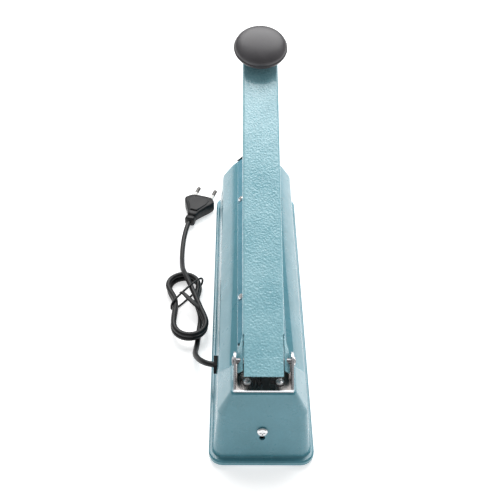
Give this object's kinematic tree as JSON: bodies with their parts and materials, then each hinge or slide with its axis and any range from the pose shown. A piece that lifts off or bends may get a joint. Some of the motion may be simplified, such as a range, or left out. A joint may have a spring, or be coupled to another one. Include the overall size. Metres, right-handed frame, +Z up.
{
  "type": "impulse heat sealer",
  "caption": "Bench-top impulse heat sealer: long painted casting with a heated sealing bar, sprung arm with a round knob, timer dial, and coiled mains lead with a flat plug.",
  "frame": {"origin": "centre of the footprint, on the floor under the rubber feet", "axes": "+Y from the hinge end to the knob end, +X to the right seen from the hinge end, +Z up"},
  "size_m": [0.1211, 0.3353, 0.2015],
  "materials": {
    "casting_enamel": "hammertone blue-green enamel",
    "arm_enamel": "hammertone blue-green enamel, pebbled",
    "strip_enamel": "smooth gloss blue-green enamel",
    "bright_steel": "bright plated steel",
    "foot_rubber": "moulded black rubber",
    "zinc_sheet": "bright zinc-plated sheet",
    "aluminium": "mill finish",
    "silicone": "smooth heat-proof silicone",
    "heating_alloy": "flat resistance ribbon",
    "release_cloth": "brown coated glass cloth",
    "brass": "stamped",
    "black_plastic": "moulded",
    "plug_plastic": "satin moulded",
    "pin_metal": "plated pin with a pale sleeve",
    "gland_rubber": "moulded",
    "cord_sheath": "satin black sheath",
    "white_plastic": "moulded",
    "lamination_steel": "varnished laminations",
    "copper_winding": "enamelled copper",
    "circuit_board": "solder-masked board",
    "lamp_lens": "clear red lens",
    "knob_plastic": "satin charcoal moulding"
  },
  "bodies": {
    "base": {"bottom_plate": "zinc_sheet", "bracket_screw_left": "bright_steel", "bracket_screw_right": "bright_steel", "clamp_strip_left": "strip_enamel", "clamp_strip_right": "strip_enamel", "cord_gland": "gland_rubber", "cord_hank": "cord_sheath", "cord_lead": "cord_sheath", "cord_plug_lead": "cord_sheath", "cord_tie": "cord_sheath", "earth_lug": "brass", "earth_screw": "bright_steel", "foot_front_left": "foot_rubber", "foot_front_right": "foot_rubber", "foot_rear_left": "foot_rubber", "foot_rear_right": "foot_rubber", "foot_screw_front_left": "bright_steel", "foot_screw_front_right": "bright_steel", "foot_screw_rear_left": "bright_steel", "foot_screw_rear_right": "bright_steel", "front_plate": "black_plastic", "heating_wire": "heating_alloy", "hinge_bracket": "zinc_sheet", "hinge_pin": "bright_steel", "housing": "casting_enamel", "indicator_lamp": "lamp_lens", "insulation_strip": "silicone", "pin_retainer": "bright_steel", "plug_body": "plug_plastic", "plug_pin_left": "pin_metal", "plug_pin_right": "pin_metal", "release_cloth": "release_cloth", "return_spring": "bright_steel", "rod_bush": "black_plastic", "sealing_bar": "aluminium", "strap_screw_left": "bright_steel", "strap_screw_right": "bright_steel", "strip_screw_left_front": "bright_steel", "strip_screw_left_rear": "bright_steel", "strip_screw_right_front": "bright_steel", "strip_screw_right_rear": "bright_steel", "switch_body": "black_plastic", "switch_stand": "zinc_sheet", "timer_board": "circuit_board", "timer_control": "zinc_sheet", "timer_relay": "black_plastic", "transformer_coil": "copper_winding", "transformer_core": "lamination_steel", "transformer_strap": "zinc_sheet", "wire_terminal_front": "brass", "wire_terminal_rear": "brass"},
    "pressing_arm": {"arm": "arm_enamel", "pad_holder": "aluminium", "pressing_pad": "silicone", "knob": "knob_plastic", "knob_screw": "bright_steel"},
    "switch_rod": {"switch_rod": "bright_steel"},
    "switch_plunger": {"switch_plunger": "white_plastic"},
    "timer_dial": {"timer_dial": "black_plastic", "timer_shaft": "aluminium"}
  },
  "joints": [
    {"name": "arm_hinge", "type": "hinge", "parent": "base", "child": "pressing_arm", "pos_m": [0, -0.127, 0.0795], "axis": [1, 0, 0], "range_deg": [-20.3, 0], "stiffness_Nm_per_rad": 0.9, "springref_deg": 68.75},
    {"name": "rod_slide", "type": "slide", "parent": "base", "child": "switch_rod", "axis": [0, 0, 1], "range_m": [-0.00708, 0], "deforming": ["return_spring"]},
    {"name": "plunger_slide", "type": "slide", "parent": "base", "child": "switch_plunger", "axis": [0, 0, 1], "range_m": [-0.0012, 0]},
    {"name": "dial_turn", "type": "hinge", "parent": "base", "child": "timer_dial", "pos_m": [-0.009, 0.15, 0.028], "axis": [0, 1, 0], "range_deg": [-135, 135]}
  ],
  "couplings": [
    {"joint": "rod_slide", "follows": "arm_hinge", "m_per_rad": 0.01993},
    {"joint": "plunger_slide", "follows": "arm_hinge", "m_per_rad": 0.00338}
  ]
}
